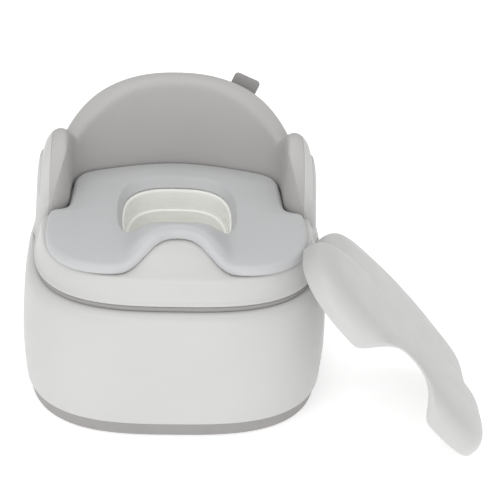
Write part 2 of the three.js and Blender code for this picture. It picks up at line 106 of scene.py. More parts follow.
ARM_TOP, ARM_ROUND, VALLEY = 303, 42, 248
BACK_TOP, BACK_ROUND, BACK_HALF = 336, 100, 140.5
CORNER = 2.6                     # superellipse exponent of the crest's rounded ends
WALL_LOW = 182                   # where the arms and the backrest grow out of the rim
PAD_BOTTOM = PAD_LOW.z
LEAN = 8 / 120                   # how fast the wall's outside leans inwards as it rises


# ---------- plan and profile curves ----------

def mix(start, end, share):
    return start + (end - start) * share


def ease(value):
    share = min(max(value, 0), 1)
    return share * share * (3 - 2 * share)


def power(value, square):
    return math.copysign(abs(value) ** (2 / square), value)


def oval(half, front, rear, z, square=SQUARE, centre=0):
    """A ring place: the point of a superellipse at a share of the full turn."""
    def place(share):
        turn = 2 * math.pi * share
        across, along = power(math.cos(turn), square), power(math.sin(turn), square)
        return Vector((half * across, centre + along * (front if along < 0 else rear), z))
    return place


def smooth(rows, steps):
    """Rows of numbers with steps - 1 more between each two, on a Catmull-Rom curve."""
    made = []
    for i in range(len(rows) - 1):
        before, here, after = rows[max(i - 1, 0)], rows[i], rows[i + 1]
        beyond = rows[min(i + 2, len(rows) - 1)]
        for k in range(steps):
            t = k / steps
            made.append(tuple(
                0.5 * (2 * b + (c - a) * t + (2 * a - 5 * b + 4 * c - d) * t * t
                       + (3 * b - a - 3 * c + d) * t ** 3)
                for a, b, c, d in zip(before, here, after, beyond)))
    return [*made, rows[-1]]


def quarter(start, end, steps):
    """Points of a quarter ellipse between two (inset, z) points, upright first, without the first."""
    made = []
    for k in range(1, steps + 1):
        turn = k / steps * math.pi / 2
        made.append((mix(start[0], end[0], 1 - math.cos(turn)), mix(start[1], end[1], math.sin(turn))))
    return made


def hump_width(x):
    """Share of the splash guard's height across the front."""
    return math.cos(math.pi / 2 * (x / HUMP_HALF) ** 2) ** 2 if abs(x) < HUMP_HALF else 0


def hump_rise(x, y):
    """How far the splash guard lifts the rim, the seat plate and the cushion."""
    start = -FRONT_LIP + 4
    top = -SEAT_FRONT + NOTCH
    fade = -HOLE_DEPTH + HOLE_Y + 64
    return HUMP_HEIGHT * hump_width(x) * ease((y - start) / (top - start)) * ease((fade - y) / 56)


def lifted(point):
    return Vector((point.x, point.y, point.z + hump_rise(point.x, point.y)))


# ---------- meshes ----------

class Loft:
    """A skin grown ring by ring: each ring is extruded from the last one and moved to its place."""

    def __init__(self, count):
        self.bm = bmesh.new()
        self.count = count
        self.number = self.bm.verts.layers.int.new("number")
        made = bmesh.ops.create_circle(self.bm, cap_ends=False, segments=count, radius=1)["verts"]
        for i, vert in enumerate(made):
            vert[self.number] = i
        self.rim = self.bm.edges[:]
        self.first = None

    def ring(self, place):
        """Adds a ring. place(share) gives its point at a share from 0 to 1 round the ring."""
        if self.first is None:
            self.first = place
            verts = self.bm.verts[:]
        else:
            made = bmesh.ops.extrude_edge_only(self.bm, edges=self.rim)["geom"]
            verts = [item for item in made if isinstance(item, bmesh.types.BMVert)]
            fresh = set(verts)
            self.rim = [item for item in made
                        if isinstance(item, bmesh.types.BMEdge) and set(item.verts) <= fresh]
        for vert in verts:
            vert.co = place(vert[self.number] / self.count) * MM

    def close(self):
        """Joins the last ring to the first."""
        self.ring(self.first)


def mesh_object(name, bm, angle=40):
    """A finished piece at the origin from a bmesh: doubles merged, faces outwards, soft edges."""
    bmesh.ops.remove_doubles(bm, verts=bm.verts, dist=2e-6)
    bmesh.ops.recalc_face_normals(bm, faces=bm.faces)
    mesh = bpy.data.meshes.new(name)
    bm.to_mesh(mesh)
    bm.free()
    mesh.shade_smooth()
    mesh.set_sharp_from_angle(angle=math.radians(angle))
    piece = bpy.data.objects.new(name, mesh)
    bpy.context.scene.collection.objects.link(piece)
    return piece


def carve(piece, tool, operation="DIFFERENCE", angle=40):
    """Joins another piece to a piece or cuts it out, then removes that other piece."""
    modifier = piece.modifiers.new(operation.lower(), "BOOLEAN")
    modifier.operation = operation
    modifier.solver = "EXACT"
    modifier.object = tool
    apply_modifiers(piece)
    bpy.data.objects.remove(tool)
    piece.data.shade_smooth()
    piece.data.set_sharp_from_angle(angle=math.radians(angle))
    return piece


def apply_modifiers(piece):
    """Replaces a piece's mesh by the mesh that its modifiers make."""
    bpy.context.view_layer.update()
    finished = bpy.data.meshes.new_from_object(piece.evaluated_get(bpy.context.evaluated_depsgraph_get()))
    piece.modifiers.clear()
    piece.data = finished


def turned(name, profile, place, segments=48, angle=30):
    """A round piece spun from (radius, height) points in millimetres, then put in its place."""
    bm = bmesh.new()
    verts = [bm.verts.new((radius * MM, 0, height * MM)) for radius, height in profile]
    edges = [bm.edges.new(pair) for pair in zip(verts, verts[1:])]
    bmesh.ops.spin(bm, geom=[*verts, *edges], cent=(0, 0, 0), axis=(0, 0, 1), dvec=(0, 0, 0),
                   angle=2 * math.pi, steps=segments, use_merge=True, use_duplicate=False)
    bmesh.ops.transform(bm, matrix=place, verts=bm.verts)
    return mesh_object(name, bm, angle)


def dress(piece, body, slot, material, *nodes):
    """Gives a piece its material and its body and hides the parts that it stands for; slot is not used."""
    piece.data.materials.clear()
    piece.data.materials.append(material)
    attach(piece, body)
    if nodes:
        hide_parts(*nodes)


# ---------- materials ----------

class Recipe:
    """A material whose colour, roughness and bump come from patterns in the piece's own space."""

    def __init__(self, name, **surface):
        self.material = bpy.data.materials.new(name)
        self.material.use_nodes = True
        self.nodes = self.material.node_tree.nodes
        self.links = self.material.node_tree.links
        self.shader = self.nodes["Principled BSDF"]
        self.place = self.nodes.new("ShaderNodeTexCoord").outputs["Object"]
        for socket, value in surface.items():
            self.shader.inputs[socket.replace("_", " ")].default_value = value

    def noise(self, scale, detail=3, roughness=0.5, stretch=None):
        node = self.nodes.new("ShaderNodeTexNoise")
        node.inputs["Scale"].default_value = scale
        node.inputs["Detail"].default_value = detail
        node.inputs["Roughness"].default_value = roughness
        place = self.place
        if stretch:
            mapping = self.nodes.new("ShaderNodeMapping")
            mapping.inputs["Scale"].default_value = stretch
            self.links.new(self.place, mapping.inputs["Vector"])
            place = mapping.outputs["Vector"]
        self.links.new(place, node.inputs["Vector"])
        return node.outputs["Fac"]

    def cells(self, scale):
        """Distance to the edges of a leather-like pattern of cells."""
        node = self.nodes.new("ShaderNodeTexVoronoi")
        node.feature = "DISTANCE_TO_EDGE"
        node.inputs["Scale"].default_value = scale
        self.links.new(self.place, node.inputs["Vector"])
        return node.outputs["Distance"]

    def span(self, value, low, high, start, end):
        node = self.nodes.new("ShaderNodeMapRange")
        for name, number in zip(("From Min", "From Max", "To Min", "To Max"), (low, high, start, end)):
            node.inputs[name].default_value = number
        self.links.new(value, node.inputs["Value"])
        return node.outputs["Result"]

    def blend(self, share, first, second):
        """A colour between two, each a colour or another pattern's output."""
        node = self.nodes.new("ShaderNodeMix")
        node.data_type = "RGBA"
        self.links.new(share, node.inputs["Factor"])
        for name, colour in (("A", first), ("B", second)):
            socket = next(s for s in node.inputs if s.name == name and s.type == "RGBA")
            if isinstance(colour, bpy.types.NodeSocket):
                self.links.new(colour, socket)
            else:
                socket.default_value = colour
        return next(s for s in node.outputs if s.type == "RGBA")

    def colour(self, output):
        self.links.new(output, self.shader.inputs["Base Color"])

    def rough(self, value, low, high, start, end):
        self.links.new(self.span(value, low, high, start, end), self.shader.inputs["Roughness"])

    def bump(self, *layers):
        """Height patterns as (output, strength, depth in metres), laid on each other."""
        normal = None
        for value, strength, depth in layers:
            node = self.nodes.new("ShaderNodeBump")
            node.inputs["Strength"].default_value = strength
            node.inputs["Distance"].default_value = depth
            self.links.new(value, node.inputs["Height"])
            if normal:
                self.links.new(normal, node.inputs["Normal"])
            normal = node.outputs["Normal"]
        self.links.new(normal, self.shader.inputs["Normal"])


def tinted(colour, factor, warmth=0.0):
    """A colour made lighter or darker, and warmer by a share."""
    red, green, blue = (channel * factor for channel in colour)
    return (red * (1 + warmth), green, blue * (1 - warmth), 1)


def moulded_white(colour):
    """Satin polypropylene: faint clouding, fine spark-eroded texture and a little dust."""
    made = Recipe("white_plastic", IOR=1.49, Specular_IOR_Level=0.42)
    cloud = made.span(made.noise(11, 4), 0.3, 0.7, 0, 1)
    plain = made.blend(cloud, tinted(colour, 0.985), tinted(colour, 1.012, -0.004))
    dust = made.span(made.noise(160, 5, 0.7), 0.52, 0.8, 0, 0.16)
    made.colour(made.blend(dust, plain, tinted(colour, 0.93, 0.012)))
    made.rough(made.noise(38, 6, 0.62), 0.3, 0.72, 0.31, 0.45)
    made.bump((made.noise(1400, 2), 0.12, 0.00005), (made.noise(24, 2), 0.08, 0.0002))
    return made.material


def pot_plastic(colour):
    """Polished polypropylene with hairline wipe marks round the bowl."""
    made = Recipe("pot_plastic", IOR=1.49, Specular_IOR_Level=0.5)
    cloud = made.span(made.noise(16, 3), 0.3, 0.7, 0, 1)
    made.colour(made.blend(cloud, tinted(colour, 0.985, 0.004), tinted(colour, 1.01)))
    wipes = made.noise(60, 4, 0.6, stretch=(1, 1, 14))
    made.rough(wipes, 0.35, 0.7, 0.22, 0.32)
    made.bump((wipes, 0.02, 0.00003), (made.noise(1800, 2), 0.04, 0.00003))
    return made.material


def trim_plastic(colour):
    """Grey satin trim with a fine texture and paler rubbed patches."""
    made = Recipe("trim_plastic", IOR=1.49, Specular_IOR_Level=0.4)
    cloud = made.span(made.noise(19, 5, 0.6), 0.32, 0.7, 0, 1)
    plain = made.blend(cloud, tinted(colour, 0.96), tinted(colour, 1.03))
    rubbed = made.span(made.noise(90, 6, 0.7), 0.58, 0.78, 0, 0.35)
    made.colour(made.blend(rubbed, plain, tinted(colour, 1.12)))
    made.rough(made.noise(45, 5, 0.6), 0.3, 0.7, 0.4, 0.54)
    made.bump((made.noise(1500, 2), 0.18, 0.00006),)
    return made.material


def foam_skin(name, colour, grain, roughness):
    """Integral-skin foam: soft leather-like grain with painted shade darkening its grooves, small specks
    of painted shade standing for pore pits, and gentle unevenness of the moulded face.
    """
    made = Recipe(name, IOR=1.45, Specular_IOR_Level=0.34, Sheen_Weight=0.08, Sheen_Roughness=0.5)
    cloud = made.span(made.noise(9, 4, 0.55), 0.3, 0.7, 0, 1)
    plain = made.blend(cloud, tinted(colour, 0.972), tinted(colour, 1.02))
    # Painted shade: the colour darkens along the grain's grooves, the same cells that the bump sinks.
    groove_shade = made.span(made.cells(grain), 0.0, 0.16, 1, 0)
    groove_shaded = made.blend(made.span(groove_shade, 0, 1, 0, 0.3), plain, tinted(colour, 0.86))
    # Painted shade: small dark specks stand for the shade inside pore pits.
    pore_shade = made.span(made.noise(grain * 2.6, 2), 0.66, 0.74, 0, 0.25)
    made.colour(made.blend(pore_shade, groove_shaded, tinted(colour, 0.78)))
    made.rough(made.noise(55, 5, 0.6), 0.3, 0.7, roughness - 0.05, roughness + 0.08)
    made.bump((made.cells(grain), 0.35, 0.00012), (made.noise(grain * 1.7, 3), 0.25, 0.00008),
              (made.noise(14, 2), 0.12, 0.0008))
    return made.material


def rubber(colour):
    """Matt rubber with pale dusty patches."""
    made = Recipe("foot_rubber", IOR=1.5, Specular_IOR_Level=0.25)
    dust = made.span(made.noise(240, 6, 0.7), 0.4, 0.75, 0, 0.5)
    made.colour(made.blend(dust, tinted(colour, 1), tinted(colour, 1.7, 0.03)))
    made.rough(made.noise(120, 4), 0.3, 0.7, 0.75, 0.95)
    made.bump((made.noise(900, 3), 0.4, 0.0001),)
    return made.material


def zinc_steel(colour):
    """Zinc-plated steel with turning marks and dull patches."""
    made = Recipe("zinc_steel", Metallic=1)
    dull = made.span(made.noise(500, 5, 0.65), 0.35, 0.7, 0, 1)
    made.colour(made.blend(dull, tinted(colour, 1.04), tinted(colour, 0.82, 0.01)))
    made.rough(made.noise(900, 3, 0.5, stretch=(1, 1, 6)), 0.3, 0.7, 0.24, 0.42)
    made.bump((made.noise(2600, 2, 0.5, stretch=(1, 1, 5)), 0.2, 0.00004),)
    return made.material


def floor_finish(colour):
    """A plain pale floor with the faintest mottling."""
    made = Recipe("floor_finish", Roughness=0.9, Specular_IOR_Level=0.1,
                  Emission_Color=(1, 1, 1, 1), Emission_Strength=0.5)
    cloud = made.span(made.noise(1.5, 3), 0.3, 0.7, 0, 1)
    made.colour(made.blend(cloud, tinted(colour, 0.995), tinted(colour, 1)))
    return made.material


# ---------- shape of each piece ----------

BAND_ROWS = [(176, 160, 160, 0), (177.3, 161.3, 161.3, 0.4), (178.6, 162.6, 162.6, 1.4),
             (179.5, 163.5, 163.5, 3.2), (180.7, 164.2, 164.2, 12), (181.9, 165, 165, 20.9)]


def cover_body():
    """The grey bottom band with its flat underside and its open top."""
    loft = Loft(224)
    middle = oval(0, 0, 0, 0)
    loft.ring(middle)
    for scale in (0.5, 0.96):
        loft.ring(oval(176 * scale, 160 * scale, 160 * scale, 0))
    for half, front, rear, z in smooth(BAND_ROWS, 3):
        loft.ring(oval(half, front, rear, z))
    for half, front, z in ((181.6, 164.7, BAND_TOP), (179.3, 162.3, BAND_TOP), (179, 162, 21.2),
                           (177, 161, 4), (176, 160, 3)):
        loft.ring(oval(half, front, front, z))
    loft.ring(oval(80, 80, 80, 3))
    loft.ring(oval(0, 0, 0, 3))
    return loft.bm


BODY_ROWS = [
    (183.9, 166.9, 166.9, 22), (184.5, 167.5, 167.5, 22.8), (185.6, 168.2, 168.3, 40),
    (186.6, 168.6, 168.8, 62), (186.4, 167.6, 168.6, 84), (185.4, 165.4, 167.4, 107),
    (183.5, 161.2, 165.4, 135), (181.7, 157.6, 163.6, 152.6), (179.1, 154.3, 160.7, 160.8),
    (175.1, 149.8, 156.5, 165.6), (169.4, 144, 150.8, SHOULDER), (160, 136, 143, SHOULDER),
]


WALL = 3                         # thickness of the moulded shells
INNER_RIM = (148, 124, 131)      # half width, front and rear of the flange and the ring inside


def lower_shell_body():
    """The white barrel: a swelling wall, a soft shoulder and a flange turned inwards."""
    loft = Loft(240)
    for half, front, rear, z in smooth(BODY_ROWS, 5):
        loft.ring(oval(half, front, rear, min(z, SHOULDER)))
    loft.ring(oval(*INNER_RIM, SHOULDER))
    loft.ring(oval(*INNER_RIM, SHOULDER - WALL))
    loft.ring(oval(170, 145, 152, SHOULDER - WALL))
    for half, front, rear, z in reversed(BODY_ROWS[1:8]):
        loft.ring(oval(half - WALL, front - WALL, rear - WALL, z))
    loft.ring(oval(182.2, 165.2, 165.2, 22))
    loft.close()
    return loft.bm


JOG = 4.4                        # how far the lip steps out beside the arms
RING_JOG = JOG + 1.2             # how far the seam ring does


def jogged(point, reach):
    """A point of the body's outline moved outwards where it lies beside the arms."""
    step = reach * ease((point.y - 2) / 7) * ease(abs(point.x) / 60 - 1.2)
    return Vector((point.x + math.copysign(step, point.x), point.y, point.z))


def seam_ring_body():
    """The grey ring between the shells: a rounded bead that steps out beside the arms."""
    def bead(inset, z):
        plain = oval(170.2 - inset, 144.2 - inset, 152.2 - inset, z)
        return lambda share: jogged(plain(share), RING_JOG)
    loft = Loft(320)
    low, high = SEAM_LOW.z, SEAM_HIGH.z
    middle, tall = (low + high) / 2, (high - low) / 2
    for turn in arc(-90, 90, 10):
        loft.ring(bead(2.6 * (1 - math.cos(turn) ** 0.8), middle + tall * math.sin(turn)))
    loft.ring(oval(*INNER_RIM, high))
    loft.ring(oval(*INNER_RIM, low))
    loft.close()
    return loft.bm


# Inset and height of the rim's outside, from the lip's underside to the land under the seat.
RIM_ROWS = [(0.2, LIP), (-0.8, LIP + 0.7), (-1.1, LIP + 2), (-0.6, LIP + 3.4), (0.7, LIP + 5),
            (2, LIP + 7.4), (4.1, LIP + 14), (6, LAND - 9), (7.6, LAND - 3), (9.4, LAND - 0.7), (12, LAND)]


def rim_body():
    """The white rim: lip, side, splash guard, the land under the seat and the well round the pot."""
    def rim(inset, z):
        plain = oval(SIDE_LIP - inset, FRONT_LIP - inset, REAR_LIP - inset, z)
        low = ease((LAND - 8 - z) / 8)

        def place(share):
            point = jogged(plain(share), JOG * low)
            return lifted(point) if z > LAND - 10 else point
        return place
    inside = oval(108, 90, 90, LAND, centre=4)
    land = rim(12, LAND)
    loft = Loft(288)
    for inset, z in smooth(RIM_ROWS, 4):
        loft.ring(rim(inset, z))
    for share in (0.12, 0.25, 0.4, 0.55, 0.7, 0.85, 0.97):
        loft.ring(lambda s, t=share: lifted(Vector(land(s)).xy.to_3d().lerp(inside(s).xy.to_3d(), t)
                                            + Vector((0, 0, LAND))))
    loft.ring(lambda s: lifted(inside(s)) - Vector((0, 0, 0.8)))
    loft.ring(oval(108, 90, 90, SHELF + 1, centre=4))
    loft.ring(oval(107, 89, 89, SHELF, centre=4))
    loft.ring(oval(69, 80, 80, SHELF, centre=HOLE_Y))
    loft.ring(oval(69, 80, 80, SHELF - 3, centre=HOLE_Y))
    loft.ring(oval(150, 124, 132, SHELF - 3))
    loft.ring(rim(6, LIP + 8))
    loft.ring(rim(5, LIP))
    loft.close()
    return loft.bm


# ---------- wall of the arms and the backrest ----------

def bezier(*points, steps=40):
    return [v.to_2d() for v in interpolate_bezier(*(Vector((*p, 0)) for p in points), steps)]


def wall_line():
    """Inner plan line of the right half of the wall, from the arm's front to the back's middle."""
    gap = 1.2
    side = (SEAT_REAR_HALF - 1 + gap, 58)
    corner = (86, 98.5 + gap)
    line = [Vector((mix(SEAT_REAR_HALF + gap + 1, side[0], k / 30), mix(ARM_FRONT, side[1], k / 30)))
            for k in range(30)]
    line += bezier(side, (127 + gap, 84), (112 + gap, 91 + gap), corner)[:-1]
    line += bezier(corner, (58, 107 + gap), (30, SEAT_BACK + gap), (0, SEAT_BACK + gap))
    return line


def lengths(line):
    """Distance along a line to each of its points."""
    total, made = 0, [0]
    for here, after in zip(line, line[1:]):
        total += (after - here).length
        made.append(total)
    return made


WALL_LINE = wall_line()
WALL_LENGTHS = lengths(WALL_LINE)
HALF_WALL = WALL_LENGTHS[-1]


def along(line, distances, wanted):
    """Point of a line at a distance along it."""
    for i in range(1, len(line)):
        if distances[i] >= wanted:
            share = (wanted - distances[i - 1]) / max(distances[i] - distances[i - 1], 1e-9)
            return line[i - 1].lerp(line[i], share)
    return line[-1].copy()


def wall_outside(inner):
    across = abs(inner.x) / (SIDE_LIP + 3)
    reach = abs(inner.y) / ((FRONT_LIP if inner.y < 0 else REAR_LIP) + 1)
    return inner * (across ** SQUARE + reach ** SQUARE) ** (-1 / SQUARE)


def crest_inset(s):
    return mix(12, 22, ease((s - 70) / 50))


CREST_SOFT = 7                   # how softly the arm's fall runs into the back's rise


def crest_height(x, s):
    """Height of the wall's crest at a distance from the arm's front and a half width."""
    rise = min(max(s / ARM_ROUND, 0), 1)
    arm = LAND + (ARM_TOP - LAND) * (1 - (1 - rise) ** CORNER) ** (1 / CORNER)
    arm -= (ARM_TOP - VALLEY) * ease((s - 30) / 90)
    if s < ARM_ROUND:
        return arm
    back = BACK_TOP - BACK_ROUND * (1 - math.sqrt(1 - min(abs(x) / BACK_HALF, 1) ** CORNER))
    raised = math.log1p(math.exp((arm - VALLEY) / CREST_SOFT) + math.exp((back - VALLEY) / CREST_SOFT))
    doubled = math.log(2) * math.exp(-abs(arm - back) / CREST_SOFT)
    return VALLEY + CREST_SOFT * (raised - doubled)


def white_share(s):
    """Share of the wall's thickness that the white outer shell takes."""
    return mix(0.42, 0.405, ease((s - 60) / 60))


OUTER_FALL, INNER_FALL = 34, 14  # how far the wall's top falls to its outer and inner face
INNER_SQUARE = 2.7               # superellipse exponent of the inner fall


def section_height(share, s, height, width):
    """Height of the wall's top over a share of its thickness, counted from the outside."""
    inward = crest_inset(s) / width
    if share < 1 - inward:
        fall = min((1 - inward - share) / (1 - inward - 0.1), 1)
        return height - OUTER_FALL * (1 - math.sqrt(1 - fall * fall))
    fall = (share - 1 + inward) / inward
    return height - INNER_FALL * (1 - max(1 - fall ** INNER_SQUARE, 0) ** (1 / INNER_SQUARE))


class Station:
    """One place along the wall: its plan points, its crest and its section."""

    def __init__(self, s, side):
        self.s = s
        self.inner = along(WALL_LINE, WALL_LENGTHS, s)
        self.outer = wall_outside(self.inner)
        self.width = (self.outer - self.inner).length
        crest = self.inner.lerp(self.outer, crest_inset(s) / self.width)
        self.height = crest_height(crest.x, s)
        self.side = side

    def point(self, share, z):
        """Point at a share of the thickness from the outside, leaning inwards as it rises."""
        back = LEAN * (z - WALL_LOW) * (1 - share) / self.width
        spot = self.outer.lerp(self.inner, share + back)
        return Vector((spot.x * self.side, spot.y, z))

    def section(self, low, start, end, edge, tall=14, wide=26):
        """Points of the section between two shares: up one face, over the top, down the other."""
        def top(share):
            return max(section_height(share, self.s, self.height, self.width), low + 4)
        soft = min(edge / self.width, (end - start) / 3)
        points = []
        for k in range(tall):
            points.append((start, mix(low + edge, top(start) - edge, k / (tall - 1))))
        for k in range(1, wide + 1):
            turn = math.pi * k / (wide + 1)
            share = mix(start, end, (1 - math.cos(turn)) / 2)
            inset = min(share - start, end - share) / soft
            drop = edge * (1 - math.sqrt(1 - (1 - min(inset, 1)) ** 2))
            points.append((share, top(share) - drop))
        for k in range(tall):
            points.append((end, mix(top(end) - edge, low + edge, k / (tall - 1))))
        points.append((mix(start, end, 0.9), low))
        points.append((mix(start, end, 0.1), low))
        return [self.point(share, z) for share, z in points]


def wall_loft(sections, nose):
    """A skin through the sections, each end swelling forwards by the nose and closed in a pole."""
    loft = Loft(len(sections[0]))

    def ring(points):
        loft.ring(lambda share: points[round(share * len(points)) % len(points)])

    def shrunk(points, factor, out):
        middle = sum(points, Vector()) / len(points)
        return [middle.lerp(p, factor) + nose * out for p in points]
    cap = ((0, 1), (0.5, 1), (0.9, 0.8), (0.985, 0.3))
    for factor, out in cap:
        ring(shrunk(sections[0], factor, out))
    for points in sections:
        ring(points)
    for factor, out in reversed(cap):
        ring(shrunk(sections[-1], factor, out))
    return loft.bm


def wall_stations(start, count):
    """Stations round the whole wall, closer together near the arms' rounded fronts."""
    half = [mix(start, HALF_WALL, (k / count) ** 1.6) for k in range(count + 1)]
    return [Station(s, 1) for s in half] + [Station(s, -1) for s in reversed(half[:-1])]


def white_wall_body():
    """The white outside of the arms and the backrest, one piece round the back."""
    def bounds(s):
        full = white_share(s)
        nose = math.sqrt(1 - (1 - min(max(s / 12, 0), 1)) ** 2)
        return full * 0.9 * (1 - nose), full
    sections = [station.section(WALL_LOW, *bounds(station.s), 1.2) for station in wall_stations(0.25, 84)]
    return wall_loft(sections, Vector((0, -0.2, 0)))


PAD_NOSE = 25                    # length over which the pad's front ends swell to full thickness


def wall_pad_body():
    """The grey foam lining of the arms and the back, whose front ends round inwards."""
    sections = []
    for station in wall_stations(0.4, 120):
        start = white_share(station.s) + 0.2 * GAP / station.width
        nose = math.sqrt(1 - (1 - min(station.s / PAD_NOSE, 1)) ** 2)
        end = mix(start, 1, max(nose, 0.06))
        sections.append(station.section(PAD_BOTTOM, start, end, 1.4))
    return wall_loft(sections, Vector((0, -0.35, 0)))


# ---------- seat ----------

def seat_line():
    """The seat's outline from the front's middle round the right to the rear's middle."""
    w, r, front = SEAT_HALF, SEAT_REAR_HALF, -SEAT_FRONT
    line = bezier((0, front + NOTCH), (26, front + NOTCH), (42, front + 1), (76, front))[:-1]
    line += bezier((76, front), (122, front), (w, -104), (w, -44))[:-1]
    line += bezier((w, -44), (w - 0.4, -34), (w - 0.8, -24), (w - 1, -14), steps=12)[:-1]
    line += bezier((w - 1, -14), (w - 1, -6.7), (w - 4.3, -2.3), (w - 11, -1), steps=24)[:-1]
    line += bezier((w - 11, -1), (r + 5, 1), (r + 1, 4), (r, 16), steps=30)[:-1]
    line += bezier((r, 16), (r - 0.7, 30), (r - 1.3, 44), (r - 2, 58), steps=16)[:-1]
    line += bezier((r - 2, 58), (r - 2.5, 84), (112, 91), (86, 98.5))[:-1]
    line += bezier((86, 98.5), (58, 107), (30, SEAT_BACK), (0, SEAT_BACK))
    return line


SEAT_COUNT = 336


def seat_ring():
    """The whole outline as evenly spaced points, anticlockwise from the front's middle."""
    half = seat_line()
    distances = lengths(half)
    count = SEAT_COUNT // 2
    right = [along(half, distances, distances[-1] * k / count) for k in range(count + 1)]
    return right + [Vector((-p.x, p.y)) for p in reversed(right[1:-1])]


SEAT_RING = seat_ring()


def offset_ring(inset):
    """The outline moved inwards by a distance along its local normal."""
    made = []
    count = len(SEAT_RING)
    for i, point in enumerate(SEAT_RING):
        way = (SEAT_RING[(i + 2) % count] - SEAT_RING[i - 2]).normalized()
        made.append(Vector((point.x - way.y * inset, point.y + way.x * inset)))
    return made


def hole_ring(grow, side=0, front=0):
    """The opening's points on rays through the outline's, grown less at the sides or in front."""
    half = HOLE_HALF + grow - side
    made = []
    for point in SEAT_RING:
        y = point.y - HOLE_Y
        depth = HOLE_DEPTH + grow - (front if y < 0 else 0)
        reach = (abs(point.x / half) ** HOLE_SQUARE + abs(y / depth) ** HOLE_SQUARE) ** (-1 / HOLE_SQUARE)
        made.append(Vector((point.x * reach, HOLE_Y + y * reach)))
    return made


PLATE_HIGH_FLAT = SEAT_BASE + 3  # top of the seat plate away from the splash guard
THROAT = 13                      # depth of the opening's slope behind
THROAT_FRONT = 9                 # how much shorter the slope is in front than behind
THROAT_SIDE = 6                  # how much narrower it is at the sides
THROAT_LEVEL = 0.12              # share of the slope that stays nearly level
THROAT_SOFT = 0.048              # how softly it then bends down


def throat_fall(share):
    """How far the slope has fallen at a share of its depth, from 0 to 1."""
    bent = THROAT_SOFT * math.log1p(math.exp((share - THROAT_LEVEL) / THROAT_SOFT))
    return min(bent / (1 - THROAT_LEVEL), 1)


def seat_body(crown):
    """The seat cushion: rounded edge, gently crowned top and a sloping throat, hollow over its plate."""
    loft = Loft(SEAT_COUNT)

    def ring(points, z):
        def place(share):
            point = points[round(share * SEAT_COUNT) % SEAT_COUNT]
            return lifted(Vector((point.x, point.y, z)))
        loft.ring(place)
    low, top = SEAT_BASE + 0.4, SEAT_TOP
    edge, roof = 7, PLATE_HIGH_FLAT + GAP
    for inset, z in ((2.4, roof), (2.4, low), (0.7, low), (0, low + 0.8), (0, low + 3)):
        ring(offset_ring(inset), z)
    for inset, z in quarter((0, low + 4), (edge, top), 9):
        ring(offset_ring(inset), z)
    outer, inner = offset_ring(edge), hole_ring(THROAT + 2, THROAT_SIDE, THROAT_FRONT)
    for k in range(1, 10):
        share = k / 10
        ring([a.lerp(b, share) for a, b in zip(outer, inner)], top + crown * math.sin(math.pi * share))
    for share in (0.03, 0.08, 0.14, 0.22, 0.32, 0.45, 0.6, 0.75, 0.88, 0.95, 1):
        left = 1 - share
        ring(hole_ring(THROAT * left, THROAT_SIDE * left, THROAT_FRONT * left),
             mix(top, low + 1.2, throat_fall(share)))
    ring(hole_ring(0.4), low)
    ring(hole_ring(5.4), low)
    ring(hole_ring(5.4), roof)
    loft.close()
    return loft.bm


# ---------- pot ----------

# Half width and height of the pot's outside, rim and inside.
POT_OUTSIDE = [(0, 62), (33, 62), (38, 62.2), (44, 64), (47.6, 68), (51, 76), (56, SHELF - 78),
               (60.8, SHELF - 31), (62.2, SHELF - 28), (64.3, SHELF - 25.6), (65.6, SHELF - 12),
               (66.5, SHELF)]
POT_RIM = [(67, SHELF + GAP), (74, SHELF + GAP), (75, SHELF + 1.4), (74.6, SHELF + 2.5),
           (73, SHELF + 3), (66.8, SHELF + 3), (65, SHELF + 2.6), (64, SHELF + 1.6)]
POT_INSIDE = [(63.6, SHELF), (62.8, SHELF - 10), (62, SHELF - 23), (61.2, SHELF - 24.4),
              (59.8, SHELF - 25.4), (58.6, SHELF - 26.6), (58, SHELF - 29), (53.4, SHELF - 78),
              (48.5, 78), (46.6, 70.4), (43, 66.6), (37, 65.1), (30, 65), (0, 65)]


def pot_body():
    """The lift-out pot: a deep bowl with a step under its wide mouth and a rolled rim."""
    loft = Loft(176)
    for half, z in [*smooth(POT_OUTSIDE, 3), *smooth(POT_RIM, 2), *smooth(POT_INSIDE, 3)]:
        depth = half + 6 * min(half / 33, 1)
        loft.ring(oval(half, depth, depth, z, 2.8, HOLE_Y))
    return loft.bm


# ---------- lid ----------

LID_CROWN, LID_ARCH, LID_EDGE, LID_LENGTH = 35, 31, 1.5, 0.95
LID_AT = Matrix.Translation((0.2538, -0.1036, 0.107)) @ (
    Euler((0, 0, math.radians(-13.8))).to_matrix()
    @ Euler((0, math.radians(45), 0)).to_matrix()
    @ Euler((math.radians(-12.3), 0, 0)).to_matrix()).to_4x4()

# Share of the outline, of the crown and of the arch, and the drop of the inner face.
LID_OUTSIDE = [(0, 1, 0, 0), (0.25, 0.997, 0, 0), (0.5, 0.985, 0, 0), (0.66, 0.968, 0.005, 0),
               (0.78, 0.93, 0.02, 0), (0.84, 0.89, 0.05, 0), (0.885, 0.83, 0.1, 0),
               (0.922, 0.76, 0.19, 0), (0.95, 0.68, 0.3, 0), (0.971, 0.58, 0.43, 0),
               (0.985, 0.48, 0.55, 0), (0.995, 0.36, 0.68, 0), (1, 0.25, 0.8, 0),
               (1.001, 0.12, 0.92, 0), (1, 0.03, 0.98, 0)]
LID_LIP = [(0.998, 0.006, 1, 0), (0.992, 0, 1, 0), (0.986, 0.006, 1, 0)]
LID_INSIDE = [(0.984, 0.03, 0.98, 0), (0.984, 0.25, 0.8, 0), (0.967, 0.48, 0.55, 0),
              (0.932, 0.68, 0.3, 1.3), (0.87, 0.83, 0.1, 2.6), (0.77, 0.93, 0.02, 2.6),
              (0.5, 0.985, 0, 2.6), (0, 1, 0, 2.6)]


